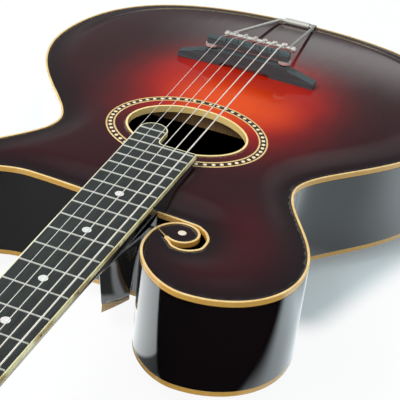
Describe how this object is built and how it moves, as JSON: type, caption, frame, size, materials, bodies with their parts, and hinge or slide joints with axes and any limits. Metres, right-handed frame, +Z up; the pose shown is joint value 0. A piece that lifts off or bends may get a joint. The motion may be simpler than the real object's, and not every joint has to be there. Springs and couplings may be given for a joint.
{
  "type": "scroll body archtop guitar",
  "caption": "Carved archtop guitar with a scroll on the bass shoulder, a pointed cutaway, an oval sound hole, a height adjustable bridge, a wire tailpiece and geared tuners.",
  "frame": {"origin": "on the flat patch under the back's arch that the instrument rests on, on the centre line and below the middle of the lower bout", "axes": "+X to the treble side, +Y from tail to head along the strings, +Z up out of the top"},
  "size_m": [0.41, 1.0059, 0.1403],
  "materials": {
    "carved_top": "gloss sunburst from orange red to near black",
    "black_lacquer": "gloss black lacquer",
    "raw_wood": "unfinished spruce and mahogany",
    "ivory_trim": "aged ivory coloured plastic",
    "dark_inlay": "dark ring with pale dots",
    "ebony": "polished black wood",
    "pearl": "mother of pearl",
    "bone": "polished bone",
    "nickel_plate": "polished nickel plate",
    "wound_string": "wound string",
    "plain_string": "plain steel string"
  },
  "bodies": {
    "instrument": {"top_plate": "carved_top", "rim": "black_lacquer", "back_plate": "black_lacquer", "neck": "black_lacquer", "neck_block": "raw_wood", "scroll_block": "raw_wood", "tail_block": "raw_wood", "top_lining": "raw_wood", "back_lining": "raw_wood", "top_brace": "raw_wood", "top_binding": "ivory_trim", "back_binding": "ivory_trim", "soundhole_binding": "ivory_trim", "heel_cap": "ivory_trim", "fingerboard_binding": "ivory_trim", "rosette": "dark_inlay", "fingerboard": "ebony", "headstock_overlay": "ebony", "bridge_base": "ebony", "scroll_dot": "pearl", "position_dot_5": "pearl", "position_dot_7": "pearl", "position_dot_9": "pearl", "position_dot_12": "pearl", "position_dot_15": "pearl", "nut": "bone", "bass_tuner_plate": "nickel_plate", "treble_tuner_plate": "nickel_plate", "bridge_stud_bass": "nickel_plate", "bridge_stud_treble": "nickel_plate", "tailpiece_crossbar": "nickel_plate", "tailpiece_wire": "nickel_plate", "tail_bracket": "nickel_plate", "string_6": "wound_string", "string_5": "wound_string", "string_4": "wound_string", "string_3": "wound_string", "string_2": "plain_string", "string_1": "plain_string"},
    "key_bass_1": {"worm_shaft_bass_1": "nickel_plate", "button_bass_1": "ivory_trim"},
    "post_bass_1": {"string_post_bass_1": "nickel_plate"},
    "key_bass_2": {"worm_shaft_bass_2": "nickel_plate", "button_bass_2": "ivory_trim"},
    "post_bass_2": {"string_post_bass_2": "nickel_plate"},
    "key_bass_3": {"worm_shaft_bass_3": "nickel_plate", "button_bass_3": "ivory_trim"},
    "post_bass_3": {"string_post_bass_3": "nickel_plate"},
    "key_treble_1": {"worm_shaft_treble_1": "nickel_plate", "button_treble_1": "ivory_trim"},
    "post_treble_1": {"string_post_treble_1": "nickel_plate"},
    "key_treble_2": {"worm_shaft_treble_2": "nickel_plate", "button_treble_2": "ivory_trim"},
    "post_treble_2": {"string_post_treble_2": "nickel_plate"},
    "key_treble_3": {"worm_shaft_treble_3": "nickel_plate", "button_treble_3": "ivory_trim"},
    "post_treble_3": {"string_post_treble_3": "nickel_plate"},
    "saddle": {"bridge_saddle": "ebony"},
    "wheel_bass": {"thumbwheel_bass": "nickel_plate"},
    "wheel_treble": {"thumbwheel_treble": "nickel_plate"}
  },
  "joints": [
    {"name": "key_turn_bass_1", "type": "hinge", "parent": "instrument", "child": "key_bass_1", "pos_m": [-0.021, 0.66829, 0.04022], "axis": [1, 0, 0], "continuous": true},
    {"name": "post_turn_bass_1", "type": "hinge", "parent": "instrument", "child": "post_bass_1", "pos_m": [-0.021, 0.66718, 0.06041], "axis": [0, 0.342, 0.9397], "continuous": true},
    {"name": "key_turn_bass_2", "type": "hinge", "parent": "instrument", "child": "key_bass_2", "pos_m": [-0.021, 0.704, 0.02722], "axis": [1, 0, 0], "continuous": true},
    {"name": "post_turn_bass_2", "type": "hinge", "parent": "instrument", "child": "post_bass_2", "pos_m": [-0.021, 0.70289, 0.04741], "axis": [0, 0.342, 0.9397], "continuous": true},
    {"name": "key_turn_bass_3", "type": "hinge", "parent": "instrument", "child": "key_bass_3", "pos_m": [-0.021, 0.7397, 0.01422], "axis": [1, 0, 0], "continuous": true},
    {"name": "post_turn_bass_3", "type": "hinge", "parent": "instrument", "child": "post_bass_3", "pos_m": [-0.021, 0.7386, 0.03442], "axis": [0, 0.342, 0.9397], "continuous": true},
    {"name": "key_turn_treble_1", "type": "hinge", "parent": "instrument", "child": "key_treble_1", "pos_m": [0.021, 0.66829, 0.04022], "axis": [1, 0, 0], "continuous": true},
    {"name": "post_turn_treble_1", "type": "hinge", "parent": "instrument", "child": "post_treble_1", "pos_m": [0.021, 0.66718, 0.06041], "axis": [0, 0.342, 0.9397], "continuous": true},
    {"name": "key_turn_treble_2", "type": "hinge", "parent": "instrument", "child": "key_treble_2", "pos_m": [0.021, 0.704, 0.02722], "axis": [1, 0, 0], "continuous": true},
    {"name": "post_turn_treble_2", "type": "hinge", "parent": "instrument", "child": "post_treble_2", "pos_m": [0.021, 0.70289, 0.04741], "axis": [0, 0.342, 0.9397], "continuous": true},
    {"name": "key_turn_treble_3", "type": "hinge", "parent": "instrument", "child": "key_treble_3", "pos_m": [0.021, 0.7397, 0.01422], "axis": [1, 0, 0], "continuous": true},
    {"name": "post_turn_treble_3", "type": "hinge", "parent": "instrument", "child": "post_treble_3", "pos_m": [0.021, 0.7386, 0.03442], "axis": [0, 0.342, 0.9397], "continuous": true},
    {"name": "saddle_rise", "type": "slide", "parent": "instrument", "child": "saddle", "axis": [0, 0, 1], "range_m": [-0.00079, 0.00238], "deforming": ["string_1", "string_2", "string_3", "string_4", "string_5", "string_6"]},
    {"name": "wheel_turn_bass", "type": "hinge", "parent": "saddle", "child": "wheel_bass", "pos_m": [-0.037, -0.0085, 0.1293], "axis": [0, 0, 1], "range_deg": [-360, 1080]},
    {"name": "wheel_turn_treble", "type": "hinge", "parent": "saddle", "child": "wheel_treble", "pos_m": [0.037, -0.0085, 0.1293], "axis": [0, 0, 1], "range_deg": [-360, 1080]}
  ],
  "couplings": [
    {"joint": "post_turn_bass_1", "follows": "key_turn_bass_1", "ratio": 0.071429},
    {"joint": "post_turn_bass_2", "follows": "key_turn_bass_2", "ratio": 0.071429},
    {"joint": "post_turn_bass_3", "follows": "key_turn_bass_3", "ratio": 0.071429},
    {"joint": "post_turn_treble_1", "follows": "key_turn_treble_1", "ratio": 0.071429},
    {"joint": "post_turn_treble_2", "follows": "key_turn_treble_2", "ratio": 0.071429},
    {"joint": "post_turn_treble_3", "follows": "key_turn_treble_3", "ratio": 0.071429},
    {"joint": "wheel_turn_bass", "follows": "saddle_rise", "rad_per_m": 7913.3},
    {"joint": "wheel_turn_treble", "follows": "saddle_rise", "rad_per_m": 7913.3}
  ]
}
